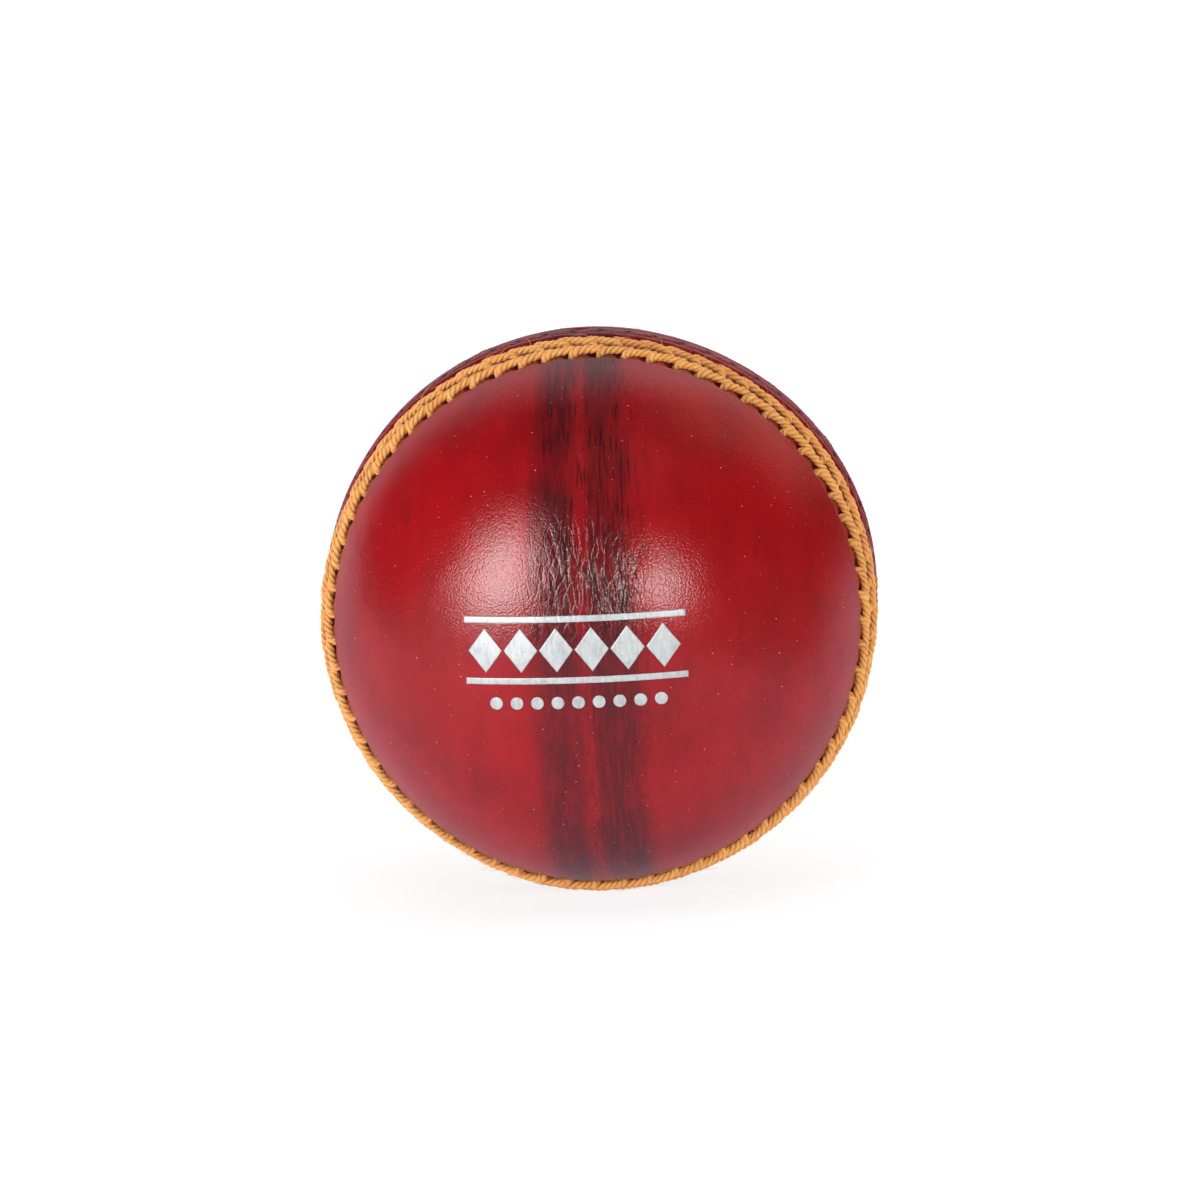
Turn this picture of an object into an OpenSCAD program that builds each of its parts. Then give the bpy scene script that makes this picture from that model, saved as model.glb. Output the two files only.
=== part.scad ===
// Hand-stitched leather ball: layered core of cork and wound yarn, a cover
// of four leather quarters, and six rows of stitches round the joint.
// Origin at the ball's centre. The two cups meet in the X-Z plane, so the
// ball's pole axis is Y; the front cup faces -Y and Z is up.

/* [Cover] */
// Radius of the leather away from the seam
leather_r = 35.4; // [34.8:0.05:35.8]
// Thickness of the leather
leather_t = 3.0; // [2.6:0.1:3.2]
// Height of the seam ridge above the leather, at the joint
ridge_h = 0.65; // [0.4:0.05:0.8]
// Gap between two leather edges that are sewn together
joint_gap = 0.1; // [0.06:0.02:0.2]

/* [Core] */
// Radius of the moulded cork-and-rubber nugget
nugget_r = 11.0; // [9:0.5:12]
// Number of cork layers, each with a winding of yarn over it
layers = 5; // [5]
// Number of cork strips in one layer
strips = 6; // [5:1:8]
// Gap between neighbouring cork strips
strip_gap = 0.5; // [0.3:0.1:1]
// Share of each layer's depth that is cork
cork_share = 0.5; // [0.4:0.05:0.6]

/* [Lining] */
// Thickness of the leather patches inside each cup
lining_t = 0.7; // [0.5:0.1:0.9]
// Half width left open along the quarter seam
lining_slot = 2.7; // [2.5:0.1:3.5]

/* [Seam stitches] */
// Stitches in one row
stitches = 64; // [60:4:68]
// Radius of the thread of the four outer rows
thread_r = 0.45; // [0.38:0.01:0.46]
// Radius of the thread of the two rows beside the joint
lip_thread_r = 0.36; // [0.3:0.01:0.4]
// Latitude where stitches of the outer row come out
row1_out = 16.2; // [16:0.1:16.4]
// Latitude where stitches of the outer row go in
row1_in = 13.5; // [13.4:0.1:13.7]
// Latitude where stitches of the inner row come out
row2_out = 8.4; // [8.3:0.1:8.6]
// Latitude where stitches of the inner row go in
row2_in = 11.0; // [10.8:0.1:11.1]
// Latitude where stitches of the row beside the joint come out
row3_out = 4.7; // [4.5:0.1:4.9]
// Latitude where stitches of the row beside the joint go in
row3_in = 2.2; // [2:0.1:2.4]
// Length of a stitch along the seam, in stitch pitches
reach = 1; // [1]

/* [Quarter stitches] */
// Stitches that close one quarter seam, on the inside of the cup
closing_stitches = 24; // [18:1:26]
// Radius of the closing thread
closing_r = 0.3; // [0.2:0.02:0.32]

/* [Foil mark] */
// Thickness of the silver foil on the leather
foil_t = 0.08; // [0.06:0.01:0.15]
// Clearance between the leather and the foil, filled by glue
foil_gap = 0.02; // [0.01:0.01:0.05]

/* [Hidden] */
$fn = 48;
thread_fn = 24;                      // facets of threads and needle holes
clear = 0.05;                        // gap between parts that press together
overcut = 1;                         // how far a cutting shape runs past the part
box = 50;                            // cutting box, larger than the ball's radius

inner_r = leather_r - leather_t;     // inside of the leather
lining_in = inner_r - clear - lining_t;
lining_edge = 3;                     // height of the lining's edge above the joint
core_r = lining_in - clear;          // outside of the last winding
layer_t = (core_r - nugget_r) / layers;
strip_end = 1.6;                     // distance of a cork strip's ends from its axis
layer_turn = [37, 53, 0];            // each cork layer is turned this much further

// The ridge is an arc that meets the leather at this latitude.
ridge_lat = 18;
ridge_top = leather_r + ridge_h;
ridge_x = leather_r * cos(ridge_lat);
ridge_y = leather_r * sin(ridge_lat);
ridge_centre = (pow(ridge_top, 2) - pow(ridge_x, 2) - pow(ridge_y, 2))
    / (2 * (ridge_top - ridge_x));
ridge_r = ridge_top - ridge_centre;

// Tracks the rows of stitches lie in
row1_floor = leather_r - 0.4;
row2_floor = leather_r - 0.35;
lip_floor = leather_r - 0.1;
track_play = 0.09;                   // beyond the thread, on each side
track_h = 4;
lip_track_from = 0.75;               // height above the joint
lip_track_size = [3, 2.65];

// Section pared off each lip: distance out from the ridge top, height above the joint
LIP_BEVEL = [[-0.55, 0], [1, 0], [1, 1.1], [-0.1, 0.6]];

// Needle holes and the stitch legs in them
hole_play = 0.06;                    // needle hole over thread, on radius
hole_depth = 2.0;
hole_over = 2;                       // how far the cut runs above the leather
hole_floor = leather_r - hole_depth;
leg_foot = hole_floor + 0.2;         // radius where the legs end
leg_share = 0.85;                    // leg radius over thread radius
pitch = 360 / stitches;

// Rows of one cup: latitude out, latitude in, thread radius, track floor,
// gap under the thread, lag behind the outer row in pitches
OUTER_ROW = [row1_out, row1_in, thread_r, row1_floor, 0.12, 0];
INNER_ROW = [row2_out, row2_in, thread_r, row2_floor, 0.12, 0.5];
LIP_ROW = [row3_out, row3_in, lip_thread_r, lip_floor, 0.15, 0];

// Closing thread and its channels
closing_x = 1.7;                     // half length of a stitch across the quarter seam
closing_bar_r = inner_r - closing_r - 0.06;
closing_leg = 0.8;
closing_first = 14;                  // angle of the first stitch above the joint
channel_w = 1.0;
channel_in = 0.5;                    // how far the cut starts inside the leather
channel_depth = 0.75;
channel_from = 5;                    // height of the channel's ends above the joint
channel_clip = [20, 100, 60];

// Foil mark: sizes and places of its shapes, seen from the front
DIAMOND = [4.5, 5.6];                // pitch along the row, height
diamond_inset = 0.12;                // from each side point to the edge of its pitch
diamonds = 6;
DIAMOND_START = [-13.4, -0.4];
BAR = [28, 0.8];
bar_left = -16;
BAR_BOTTOMS = [3.1, -4.7];
dots = 9;
dot_step = 2.6;
dot_r = 0.8;
DOT_START = [-12.3, -7.2];
mark_from = 20;                      // the outline is extruded from here, through the leather
mark_h = 20;

// ---- placing -------------------------------------------------------------

// A cup is drawn with its pole along +Z, its joint at z = 0 and its quarter
// seam in the plane x = 0.
module front_side() { rotate([90, 0, 0]) children(); }

// The back cup is turned a quarter turn, so its quarter seam crosses the front one.
module back_side() { rotate([-90, 0, 0]) rotate([0, 0, 90]) children(); }

// Puts children at a latitude and an angle round the pole, +Z outwards.
module on_ball(lat, turn, r) {
    rotate([0, 0, turn]) rotate([0, 90 - lat, 0]) translate([0, 0, r]) children();
}

function point_at(lat, turn, r) =
    [r * cos(lat) * cos(turn), r * cos(lat) * sin(turn), r * sin(lat)];

// Box over one half of a cup, from a distance off the quarter seam.
// A side is +1 or -1 along x.
module half_box(side, from_seam) {
    translate([side > 0 ? from_seam : -box - from_seam, -box, 0]) cube([box, 2 * box, box]);
}

// ---- core ----------------------------------------------------------------

module core_nugget() {
    color("saddlebrown") sphere(r = nugget_r - clear);
}

function yarn_out(n) = nugget_r + n * layer_t;
function cork_in(n) = yarn_out(n - 1);
function cork_out(n) = cork_in(n) + layer_t * cork_share;

// Half ring, cut off short of the axis so that the strip ends are blunt.
module half_ring(r_in, r_out, from_axis) {
    intersection() {
        difference() {
            circle(r = r_out);
            circle(r = r_in);
        }
        translate([from_axis, -r_out - overcut]) square([r_out + overcut, 2 * (r_out + overcut)]);
    }
}

module cork_layer(n) {
    r_out = cork_out(n) - clear;
    strip_angle = 360 / strips;
    gap_angle = strip_gap / (2 * PI * r_out) * 360;
    color("peru")
    rotate(n * layer_turn)
    for (i = [0 : strips - 1])
        rotate([0, 0, i * strip_angle])
        rotate_extrude(angle = strip_angle - gap_angle)
        half_ring(cork_in(n), r_out, strip_end);
}

module yarn_winding(n) {
    color("gainsboro") difference() {
        sphere(r = yarn_out(n) - clear);
        sphere(r = cork_out(n));
    }
}

// ---- leather ---------------------------------------------------------------

// Section of a groove cut square into the leather, wide enough for a row of stitches.
module track(row) {
    lat_out = row[0];
    lat_in = row[1];
    half = abs(lat_out - lat_in) / 2 * PI / 180 * leather_r + row[2] + track_play;
    rotate([0, 0, (lat_out + lat_in) / 2])
        translate([row[3], -half])
        square([track_h, 2 * half]);
}

module cup_profile() {
    difference() {
        intersection() {
            union() {
                circle(r = leather_r);
                translate([ridge_centre, 0]) circle(r = ridge_r);
            }
            translate([0, joint_gap / 2]) square([box, box]);
        }
        circle(r = inner_r);
        track(OUTER_ROW);
        track(INNER_ROW);
        translate([lip_floor, lip_track_from]) square(lip_track_size);
        translate([ridge_top, 0]) polygon(LIP_BEVEL);
    }
}

// Angles where stitch i of a row comes out and goes in. Every stitch leans
// the same way round.
function turn_out(i, lag) = (i + 0.5 - lag) * pitch;
function turn_in(i, lag) = turn_out(i, lag) - reach * pitch;

// Needle holes of one side. They run 1 degree past the quarter seam, so that
// a hole on the seam cuts both quarters.
module needle_holes(side) {
    for (row = [OUTER_ROW, INNER_ROW, LIP_ROW])
        for (i = [0 : stitches - 1]) {
            turn = turn_out(i, row[5]);
            if (side * cos(turn) > cos(91))
                for (lat = [row[0], row[1]])
                    on_ball(lat, turn, hole_floor)
                    cylinder(r = row[2] + hole_play, h = hole_depth + hole_over, $fn = thread_fn);
        }
}

// Channel on the inside of a quarter that the closing thread drops into.
module closing_channel(side) {
    intersection() {
        rotate([0, 90, 0]) rotate_extrude()
            translate([inner_r - channel_in, side * closing_x - channel_w / 2])
            square([channel_in + channel_depth, channel_w]);
        translate([-channel_clip[0] / 2, -channel_clip[1] / 2, channel_from]) cube(channel_clip);
    }
}

module quarter(side) {
    difference() {
        intersection() {
            rotate_extrude() cup_profile();
            half_box(side, joint_gap / 2);
        }
        closing_channel(side);
        needle_holes(side);
    }
}

module front_left_quarter() { color("firebrick") front_side() quarter(-1); }
module front_right_quarter() { color("firebrick") front_side() quarter(1); }
module back_upper_quarter() { color("darkred") back_side() quarter(-1); }
module back_lower_quarter() { color("darkred") back_side() quarter(1); }

// ---- lining ------------------------------------------------------------------

module lining_patches() {
    for (side = [-1, 1])
        intersection() {
            rotate_extrude() intersection() {
                difference() {
                    circle(r = inner_r - clear);
                    circle(r = lining_in);
                }
                translate([0, lining_edge]) square([box, box]);
            }
            half_box(side, lining_slot);
        }
}

module front_lining_patches() { color("tan") front_side() lining_patches(); }
module back_lining_patches() { color("tan") back_side() lining_patches(); }

// ---- stitches ----------------------------------------------------------------

// Half outline of a rod with round ends, for turning about its own axis.
module rod_profile(r, len) {
    intersection() {
        union() {
            circle(r = r);
            translate([0, len]) circle(r = r);
            square([r, len]);
        }
        translate([0, -r - overcut]) square([r + overcut, len + 2 * (r + overcut)]);
    }
}

// Rod of thread along +Z; its round ends are centred on z = 0 and z = len.
module thread_rod(r, len) {
    rotate_extrude($fn = thread_fn) rod_profile(r, len);
}

module thread_leg(r, h) {
    cylinder(r = r * leg_share, h = h, $fn = thread_fn);
}

// A rod of thread between two points.
module thread_between(start, end, r) {
    span = end - start;
    len = norm(span);
    translate(start)
        rotate([0, acos(span[2] / len), atan2(span[1], span[0])])
        thread_rod(r, len);
}

// Row of stitches: each a rod in its track with a leg down each needle hole.
module stitch_row(row) {
    r = row[2];
    bar_r = row[3] + r + row[4];
    for (i = [0 : stitches - 1]) {
        ends = [[row[0], turn_out(i, row[5])], [row[1], turn_in(i, row[5])]];
        thread_between(
            point_at(ends[0][0], ends[0][1], bar_r),
            point_at(ends[1][0], ends[1][1], bar_r),
            r
        );
        for (end = ends)
            on_ball(end[0], end[1], leg_foot) thread_leg(r, bar_r - leg_foot);
    }
}

module front_outer_stitch_row() { color("goldenrod") front_side() stitch_row(OUTER_ROW); }
module front_inner_stitch_row() { color("goldenrod") front_side() stitch_row(INNER_ROW); }
module front_lip_stitch_row() { color("brown") front_side() stitch_row(LIP_ROW); }
module back_lip_stitch_row() { color("brown") back_side() stitch_row(LIP_ROW); }
module back_inner_stitch_row() { color("goldenrod") back_side() stitch_row(INNER_ROW); }
module back_outer_stitch_row() { color("goldenrod") back_side() stitch_row(OUTER_ROW); }

// Thread that joins two quarters: short bars across the joint, inside the cup.
module closing_thread() {
    step = (180 - 2 * closing_first) / (closing_stitches - 1);
    for (i = [0 : closing_stitches - 1])
        rotate([closing_first + i * step - 90, 0, 0]) {
            translate([-closing_x, 0, closing_bar_r])
                rotate([0, 90, 0])
                thread_rod(closing_r, 2 * closing_x);
            for (x = [-closing_x, closing_x])
                translate([x, 0, closing_bar_r]) thread_leg(closing_r, closing_leg);
        }
}

module front_closing_thread() { color("wheat") front_side() closing_thread(); }
module back_closing_thread() { color("wheat") back_side() closing_thread(); }

// ---- foil mark ---------------------------------------------------------------

// Repeats children along x.
module in_row(count, step, start) {
    for (i = [0 : count - 1])
        translate([start[0] + i * step, start[1]]) children();
}

module diamond() {
    half_w = DIAMOND[0] / 2 - diamond_inset;
    half_h = DIAMOND[1] / 2;
    polygon([[-half_w, 0], [0, -half_h], [half_w, 0], [0, half_h]]);
}

// Row of diamonds between two bars, with a row of dots below.
module mark_outline() {
    in_row(diamonds, DIAMOND[0], DIAMOND_START) diamond();
    for (y = BAR_BOTTOMS)
        translate([bar_left, y]) square(BAR);
    in_row(dots, dot_step, DOT_START) circle(r = dot_r);
}

module foil_mark() {
    color("silver") front_side() intersection() {
        translate([0, 0, mark_from]) linear_extrude(height = mark_h) mark_outline();
        difference() {
            sphere(r = leather_r + foil_gap + foil_t);
            sphere(r = leather_r + foil_gap);
        }
    }
}

// ---- nodes -------------------------------------------------------------------

core_nugget();
cork_layer(1);  // cork_layer_1
yarn_winding(1);  // yarn_winding_1
cork_layer(2);  // cork_layer_2
yarn_winding(2);  // yarn_winding_2
cork_layer(3);  // cork_layer_3
yarn_winding(3);  // yarn_winding_3
cork_layer(4);  // cork_layer_4
yarn_winding(4);  // yarn_winding_4
cork_layer(5);  // cork_layer_5
yarn_winding(5);  // yarn_winding_5
front_lining_patches();
back_lining_patches();
front_left_quarter();
front_right_quarter();
back_upper_quarter();
back_lower_quarter();
front_closing_thread();
back_closing_thread();
front_outer_stitch_row();
front_inner_stitch_row();
front_lip_stitch_row();
back_lip_stitch_row();
back_inner_stitch_row();
back_outer_stitch_row();
foil_mark();
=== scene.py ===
import math

import bpy
import numpy as np
from mathutils import Matrix, Vector


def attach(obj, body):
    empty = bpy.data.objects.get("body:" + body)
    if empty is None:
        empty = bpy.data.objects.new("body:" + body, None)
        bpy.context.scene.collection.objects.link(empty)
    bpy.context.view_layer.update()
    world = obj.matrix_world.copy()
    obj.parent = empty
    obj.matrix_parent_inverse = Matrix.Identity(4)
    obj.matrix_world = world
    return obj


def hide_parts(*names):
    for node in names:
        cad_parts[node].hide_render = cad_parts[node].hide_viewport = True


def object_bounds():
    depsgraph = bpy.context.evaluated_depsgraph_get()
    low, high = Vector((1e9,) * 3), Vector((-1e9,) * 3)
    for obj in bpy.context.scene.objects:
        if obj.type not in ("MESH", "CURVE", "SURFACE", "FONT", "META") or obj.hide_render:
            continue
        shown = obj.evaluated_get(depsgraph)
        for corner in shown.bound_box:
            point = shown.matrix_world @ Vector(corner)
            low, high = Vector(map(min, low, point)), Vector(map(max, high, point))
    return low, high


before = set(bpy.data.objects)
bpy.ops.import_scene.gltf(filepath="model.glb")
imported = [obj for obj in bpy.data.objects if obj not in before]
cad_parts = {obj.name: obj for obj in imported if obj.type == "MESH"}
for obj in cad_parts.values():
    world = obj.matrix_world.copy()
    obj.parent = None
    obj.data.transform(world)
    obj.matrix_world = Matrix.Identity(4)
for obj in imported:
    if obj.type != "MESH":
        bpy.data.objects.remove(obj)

MM = 0.001
scene = bpy.context.scene
cad_lo, cad_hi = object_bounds()
rng = np.random.default_rng(4711)

# ---------------------------------------------------------------------------
# Shape of the ball, in millimetres. psi is the latitude in degrees above the
# seam plane (positive on the front cup, which faces -Y), t the angle round
# the pole axis in degrees (0 at +X, 90 at +Z).
# ---------------------------------------------------------------------------
BALL_R = 35.4
STITCHES = 64
PITCH = 360.0 / STITCHES
REACH = 1.32
ROW1 = (15.9, 13.85)     # outer and inner needle holes of the outer row
ROW2 = (8.2, 10.5)
ROW3 = (4.7, 2.3)
THREAD_R = 0.555
LIP_THREAD_R = 0.31


def deg(a):
    return np.radians(a)


def place(psi, t, r):
    """Points in millimetres at latitude psi, angle t, radius r."""
    c = np.cos(deg(psi))
    return np.stack([r * c * np.cos(deg(t)), -r * np.sin(deg(psi)), r * c * np.sin(deg(t))], -1)


def sstep(a, b, x):
    x = np.clip((x - a) / (b - a), 0, 1)
    return x * x * (3 - 2 * x)


# ---- noise -----------------------------------------------------------------
def _corner(ix, iy, iz, seed):
    n = (ix.astype(np.uint32) * np.uint32(73856093)) ^ (iy.astype(np.uint32) * np.uint32(19349663)) \
        ^ (iz.astype(np.uint32) * np.uint32(83492791)) ^ np.uint32(seed * 2654435 % 4294967291)
    n = (n ^ (n >> np.uint32(13))) * np.uint32(1274126177)
    n = (n ^ (n >> np.uint32(15))) * np.uint32(2246822519)
    n = n ^ (n >> np.uint32(16))
    gx = (n & np.uint32(1023)).astype(np.float64) / 511.5 - 1
    gy = ((n >> np.uint32(10)) & np.uint32(1023)).astype(np.float64) / 511.5 - 1
    gz = ((n >> np.uint32(20)) & np.uint32(1023)).astype(np.float64) / 511.5 - 1
    return gx, gy, gz


def noise(p, seed=1):
    """Gradient noise, about -0.7 to 0.7, at an (n, 3) array of points."""
    i = np.floor(p).astype(np.int64)
    f = p - i
    u = f * f * f * (f * (f * 6 - 15) + 10)
    total = 0.0
    for dx in (0, 1):
        for dy in (0, 1):
            for dz in (0, 1):
                gx, gy, gz = _corner(i[:, 0] + dx, i[:, 1] + dy, i[:, 2] + dz, seed)
                d = gx * (f[:, 0] - dx) + gy * (f[:, 1] - dy) + gz * (f[:, 2] - dz)
                w = (u[:, 0] if dx else 1 - u[:, 0]) * (u[:, 1] if dy else 1 - u[:, 1]) * (u[:, 2] if dz else 1 - u[:, 2])
                total = total + d * w
    return total


def fbm(p, octaves=4, seed=1):
    total, amp, freq = 0.0, 1.0, 1.0
    for k in range(octaves):
        total = total + amp * noise(p * freq + 17.3 * k, seed + k)
        amp *= 0.5
        freq *= 2.03
    return total


# ---- the leather's surface ---------------------------------------------------
# latitude, height above BALL_R low on the ball, height at its top
PROFILE = np.array([
    (0.0, 0.24, 0.66), (1.3, 0.29, 0.75), (2.3, 0.10, 0.58), (3.5, -0.12, 0.36), (4.8, 0.08, 0.56), (6.0, 0.28, 0.70),
    (7.3, 0.12, 0.32), (8.5, -0.06, -0.10), (9.7, -0.12, -0.22), (11.0, 0.0, -0.08), (12.25, 0.02, -0.02), (13.4, -0.02, -0.02),
    (14.6, -0.17, -0.17), (15.8, -0.12, -0.12), (17.0, 0.0, 0.0), (18.6, 0.06, 0.06), (20.8, 0.03, 0.03), (24.0, 0.0, 0.0),
    (60.0, 0.0, 0.0), (91.0, 0.0, 0.0)])


def curve_through(x, xs, ys):
    """Smooth curve through the points (xs, ys)."""
    slope = np.gradient(ys, xs)
    i = np.clip(np.searchsorted(xs, x) - 1, 0, len(xs) - 2)
    w = xs[i + 1] - xs[i]
    f = (x - xs[i]) / w
    return ((1 + 2 * f) * (1 - f) ** 2 * ys[i] + f * (1 - f) ** 2 * w * slope[i]
            + f * f * (3 - 2 * f) * ys[i + 1] - f * f * (1 - f) * w * slope[i + 1])


def ridge(psi, t):
    """Height of the leather above BALL_R round the seam, without the needle holes."""
    a = np.abs(psi)
    # the lips stand prouder over the top of the ball than at its sides and bottom
    top = sstep(0.06, 0.42, np.sin(deg(t)) + 0.085 * np.cos(deg(t)))
    tt = np.mod(t + 180, 360) - 180
    top = top * (1 - 0.14 * sstep(46.0, 38.0, tt))
    low = curve_through(a, PROFILE[:, 0], PROFILE[:, 1])
    high = curve_through(a, PROFILE[:, 0], PROFILE[:, 2])
    h = low + (high - low) * top
    # lips round over where the cups meet
    h = h - 0.42 * np.exp(-(a / 0.40) ** 2)
    # a hand-sewn seam isn't quite round
    wave = 0.0
    for at, amount, width in ((200.0, -0.06, 42.0), (155.0, -0.26, 15.0), (181.0, 0.15, 16.0), (-122.0, -0.15, 12.0), (-98.0, 0.42, 32.0),
                              (31.0, 0.34, 24.0), (112.0, 0.22, 32.0)):
        d = np.mod(t - at + 180, 360) - 180
        wave = wave + amount * np.exp(-(d / width) ** 2)
    h = h + wave * (1 - sstep(11.5, 17.0, a))
    under = np.mod(t + 100.0 + 180, 360) - 180
    h = h + 0.30 * np.exp(-(under / 34.0) ** 2) * sstep(11.0, 17.0, a) * (1 - sstep(18.0, 58.0, a))
    # a notch where the quarter seam runs into the lips
    seam = np.where(psi >= 0, tt - 91.6, np.mod(t + 90, 360) - 90)
    h = h - 0.20 * np.exp(-(seam / 1.5) ** 2) * (1 - sstep(5.5, 8.0, a))
    return h


def hole_dips(psi, t, side):
    """Dimples at the needle holes. side is +1 on the front cup, -1 on the back. Returns height and darkness, a painted
    shade for the holes and for the leather between the tan rows.
    """
    a = np.abs(psi)
    total = np.zeros_like(psi)
    dark = np.zeros_like(psi)
    sets = [(ROW1[0] + 0.50, 0.10, 0.85, 0.46), (ROW1[1], -REACH, 0.50, 0.34),
            (ROW2[0] - 0.25, -0.5, 0.45, 0.36), (ROW2[1], -0.5 - REACH, 0.50, 0.34),
            (ROW3[0] + 0.1, 0.0, 0.08, 0.24), (ROW3[1], -1.0, 0.08, 0.24)]
    for lat, shift, depth, width in sets:
        near = np.abs(a - lat) < 3.2
        if not near.any():
            continue
        tt = t[near] if side > 0 else 90 - t[near]      # the back cup is drawn a quarter turn round
        k = (tt / PITCH) - 0.5 - shift
        dt = (k - np.round(k)) * PITCH
        dx = dt * math.pi / 180 * BALL_R * np.cos(deg(lat))
        dy = (a[near] - lat) * math.pi / 180 * BALL_R
        total[near] += -depth * np.exp(-(dx * dx + dy * dy) / (2 * width * width))
        # painted shadow inside each needle hole
        dark[near] += 1.15 * np.exp(-(dx * dx + dy * dy) / (2 * (width * 1.6) ** 2))
    # the leather between the two tan rows is in the threads' shade
    dark = dark + 0.75 * np.exp(-((a - 12.2) / 0.75) ** 2)
    return total, np.minimum(dark, 1)


def cells(u, v, seed):
    """Nearest and second nearest point of a jittered grid, and a random number for the nearest one."""
    iu, iv = np.floor(u).astype(np.int64), np.floor(v).astype(np.int64)
    f1 = np.full(u.shape, 9.0)
    f2 = f1.copy()
    tag = np.zeros(u.shape)
    for du in (-1, 0, 1):
        for dv in (-1, 0, 1):
            gx, gy, gz = _corner(iu + du, iv + dv, iu * 0 + 7, seed)
            d = np.hypot(u - (iu + du + 0.5 + 0.42 * gx), v - (iv + dv + 0.5 + 0.42 * gy))
            closer = d < f1
            f2 = np.where(closer, f1, np.minimum(f2, d))
            tag = np.where(closer, gz, tag)
            f1 = np.where(closer, d, f1)
    return f1, f2, tag


def creases(u, v, seed):
    """Wrinkled leather: long thin cells that branch, with valleys between. Returns height in mm and valley strength."""
    flat = np.zeros_like(u)
    warp = fbm(np.stack([u / 4.2, v / 7.5, flat + 3.1 + seed], -1), 2, 11)
    warp2 = noise(np.stack([u / 1.0, v / 2.0, flat + 8.1 + seed], -1), 14)
    gate = sstep(-0.30, 0.15, noise(np.stack([u / 2.6, v / 5.0, flat + 1.7 + seed], -1), 33))
    total, crack = 0.0, 0.0
    for j, (wide, long, lean, depth, w) in enumerate([(1.30, 6.4, 0.12, 0.056, 0.20), (0.84, 3.6, -0.16, 0.032, 0.24)]):
        a = (u + lean * v + 1.7 * warp + 0.22 * warp2) / wide
        b = v / long + 0.40 * warp + 0.08 * warp2
        f1, f2, tag = cells(a, b, int(37 + 5 * j + seed * 10))
        edge = f2 - f1
        valley = np.exp(-(edge / w) ** 2)
        total = total + depth * (0.35 + 0.65 * gate) * (-valley + 0.16 * np.minimum(edge, 0.8) + 0.05 * tag)
        crack = np.maximum(crack, valley * (1.0 if j == 0 else 0.6) * (0.35 + 0.65 * gate))
    return total, crack


def crease_zone(u, v):
    """Where the creases beside a quarter seam are, from 0 to 1. v is the arc along the seam."""
    across = np.exp(-((u - 0.4) / 7.2) ** 4)
    along = 0.04 + 0.96 * np.exp(-((v - 7.0) / 10.0) ** 4)
    return across * along


def leather_r(psi, t, pos, want_crack=False):
    """Radius of the leather at points given both ways. pos is a unit direction."""
    front = psi >= 0
    h = ridge(psi, t)
    # slow unevenness of a hand-made ball
    h = h + 0.10 * noise(pos * 2.1 + 4.0, 3) + 0.050 * noise(pos * 4.7 + 9.0, 5) + 0.018 * noise(pos * 11.0, 6)
    u = np.where(front, pos[:, 0], pos[:, 2]) * BALL_R     # across the quarter seam
    v = np.arctan2(np.where(front, pos[:, 2], pos[:, 0]), np.abs(pos[:, 1])) * BALL_R     # arc along it
    away = sstep(17.5, 23.0, np.abs(psi))
    zone = crease_zone(u, v) * away * np.where(front, 1.0, 0.45)
    height, crack = creases(u, v, 0.5)
    h = h + zone * height
    # fine lines in the leather everywhere
    h = h + 0.007 * away * fbm(pos * BALL_R / 1.2, 3, 51)
    # the quarter seam, sewn from inside: a shallow valley, nearly closed
    wob = u + 0.08 * noise(np.stack([v / 2.2, v * 0, v * 0 + 2.0], -1), 61)
    h = h - 0.022 * np.exp(-(wob / 0.14) ** 2) - 0.022 * np.exp(-(wob / 0.9) ** 2)
    if want_crack:
        return BALL_R + h, crack * zone
    return BALL_R + h


# ---------------------------------------------------------------------------
# Meshes
# ---------------------------------------------------------------------------
def new_mesh(name, verts_mm, quads, tris, attributes=None, smooth=True):
    mesh = bpy.data.meshes.new(name)
    quads = np.asarray(quads, np.int32).reshape(-1, 4)
    tris = np.asarray(tris, np.int32).reshape(-1, 3)
    loops = np.concatenate([quads.ravel(), tris.ravel()])
    starts = np.concatenate([np.arange(len(quads)) * 4, len(quads) * 4 + np.arange(len(tris)) * 3]).astype(np.int32)
    totals = np.concatenate([np.full(len(quads), 4), np.full(len(tris), 3)]).astype(np.int32)
    mesh.vertices.add(len(verts_mm))
    mesh.vertices.foreach_set("co", (np.asarray(verts_mm) * MM).astype(np.float32).ravel())
    mesh.loops.add(len(loops))
    mesh.loops.foreach_set("vertex_index", loops)
    mesh.polygons.add(len(starts))
    mesh.polygons.foreach_set("loop_start", starts)
    mesh.polygons.foreach_set("loop_total", totals)
    mesh.update(calc_edges=True)
    mesh.validate()
    mesh.polygons.foreach_set("use_smooth", np.full(len(mesh.polygons), smooth))
    for key, values in (attributes or {}).items():
        layer = mesh.attributes.new(key, "FLOAT", "POINT")
        layer.data.foreach_set("value", np.asarray(values, np.float32))
    mesh.update()
    obj = bpy.data.objects.new(name, mesh)
    scene.collection.objects.link(obj)
    return obj


def half_square(n):
    """Even grid over a half disc (x >= 0) by the concentric map: radius 0..1 and angle, arrays (n+1, 2n+1)."""
    u = np.linspace(0, 1, n + 1)
    a = u - 0.45 * np.sin(2 * np.pi * u) / (2 * np.pi)
    w = np.linspace(-1, 1, 2 * n + 1)
    b = w + 0.45 * np.sin(np.pi * w) / np.pi
    A, B = np.meshgrid(a, b, indexing="ij")
    wide = A >= np.abs(B)
    with np.errstate(divide="ignore", invalid="ignore"):
        r = np.where(wide, A, np.abs(B))
        phi = np.where(wide, (np.pi / 4) * np.where(A > 0, B / np.where(A > 0, A, 1), 0),
                       np.sign(B) * (np.pi / 2 - (np.pi / 4) * A / np.where(np.abs(B) > 0, np.abs(B), 1)))
    return r, phi


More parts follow.
